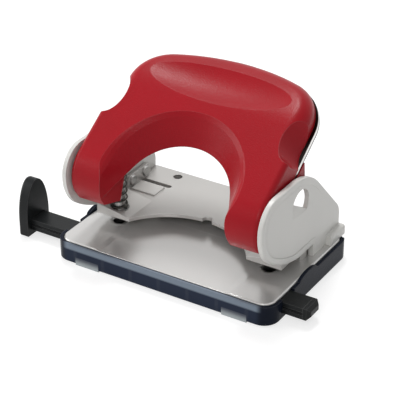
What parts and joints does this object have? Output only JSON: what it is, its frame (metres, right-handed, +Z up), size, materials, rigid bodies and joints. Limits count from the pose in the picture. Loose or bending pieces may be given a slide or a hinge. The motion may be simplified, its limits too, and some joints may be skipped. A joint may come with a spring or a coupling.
{
  "type": "hole punch",
  "caption": "Desk hole punch with an arched lever handle, side cheeks, sprung punches, hinged chip tray and a sliding guide rail with a stop paddle.",
  "frame": {"origin": "centre of the tray's footprint, on the surface that the feet stand on", "axes": "+X to the right along the row of punches and the guide rail, +Y to the back, +Z up"},
  "size_m": [0.153, 0.0742, 0.0846],
  "materials": {
    "handle_red": "satin moulding",
    "cheek_grey": "satin moulding",
    "plate_grey": "smooth enamel",
    "deck_grey": "smooth enamel",
    "lever_chrome": "bright plated",
    "tool_steel": "ground",
    "spring_steel": "drawn wire",
    "tray_navy": "smooth moulding",
    "foot_rubber": "frosted",
    "rail_black": "satin moulding"
  },
  "bodies": {
    "base": {"base_plate": "plate_grey", "upper_deck": "deck_grey", "left_cheek": "cheek_grey", "right_cheek": "cheek_grey", "left_paper_stop": "deck_grey", "right_paper_stop": "deck_grey", "left_die_ring": "tool_steel", "right_die_ring": "tool_steel", "left_guide_bush": "tool_steel", "right_guide_bush": "tool_steel", "left_pivot_pin": "tool_steel", "right_pivot_pin": "tool_steel", "frame_rivets": "tool_steel", "cheek_screws": "tool_steel"},
    "handle": {"handle_shell": "handle_red", "lever_plate": "lever_chrome", "lever_screws": "tool_steel"},
    "left_punch": {"left_punch_pin": "tool_steel", "left_spring_collar": "tool_steel", "left_punch_spring": "spring_steel"},
    "right_punch": {"right_punch_pin": "tool_steel", "right_spring_collar": "tool_steel", "right_punch_spring": "spring_steel"},
    "tray": {"chip_tray": "tray_navy", "rubber_feet": "foot_rubber", "tray_hinge_pins": "tool_steel"},
    "rail": {"guide_rail": "rail_black", "rail_end_cap": "rail_black", "stop_paddle": "rail_black"}
  },
  "joints": [
    {"name": "handle_hinge", "type": "hinge", "parent": "base", "child": "handle", "pos_m": [0, -0.0255, 0.037], "axis": [-1, 0, 0], "range_deg": [0, 20], "stiffness_Nm_per_rad": 0.77, "springref_deg": -24.06},
    {"name": "left_punch_slide", "type": "slide", "parent": "base", "child": "left_punch", "axis": [0, 0, -1], "range_m": [0, 0.00691], "deforming": ["left_punch_spring"]},
    {"name": "right_punch_slide", "type": "slide", "parent": "base", "child": "right_punch", "axis": [0, 0, -1], "range_m": [0, 0.00691], "deforming": ["right_punch_spring"]},
    {"name": "tray_hinge", "type": "hinge", "parent": "tray", "child": "base", "pos_m": [0, 0.0353, 0.0072], "axis": [-1, 0, 0], "range_deg": [0, 35]},
    {"name": "rail_slide", "type": "slide", "parent": "tray", "child": "rail", "axis": [1, 0, 0], "range_m": [-0.071, 0.0195]}
  ],
  "couplings": [
    {"joint": "left_punch_slide", "follows": "handle_hinge", "m_per_rad": 0.019749},
    {"joint": "right_punch_slide", "follows": "handle_hinge", "m_per_rad": 0.019749}
  ]
}
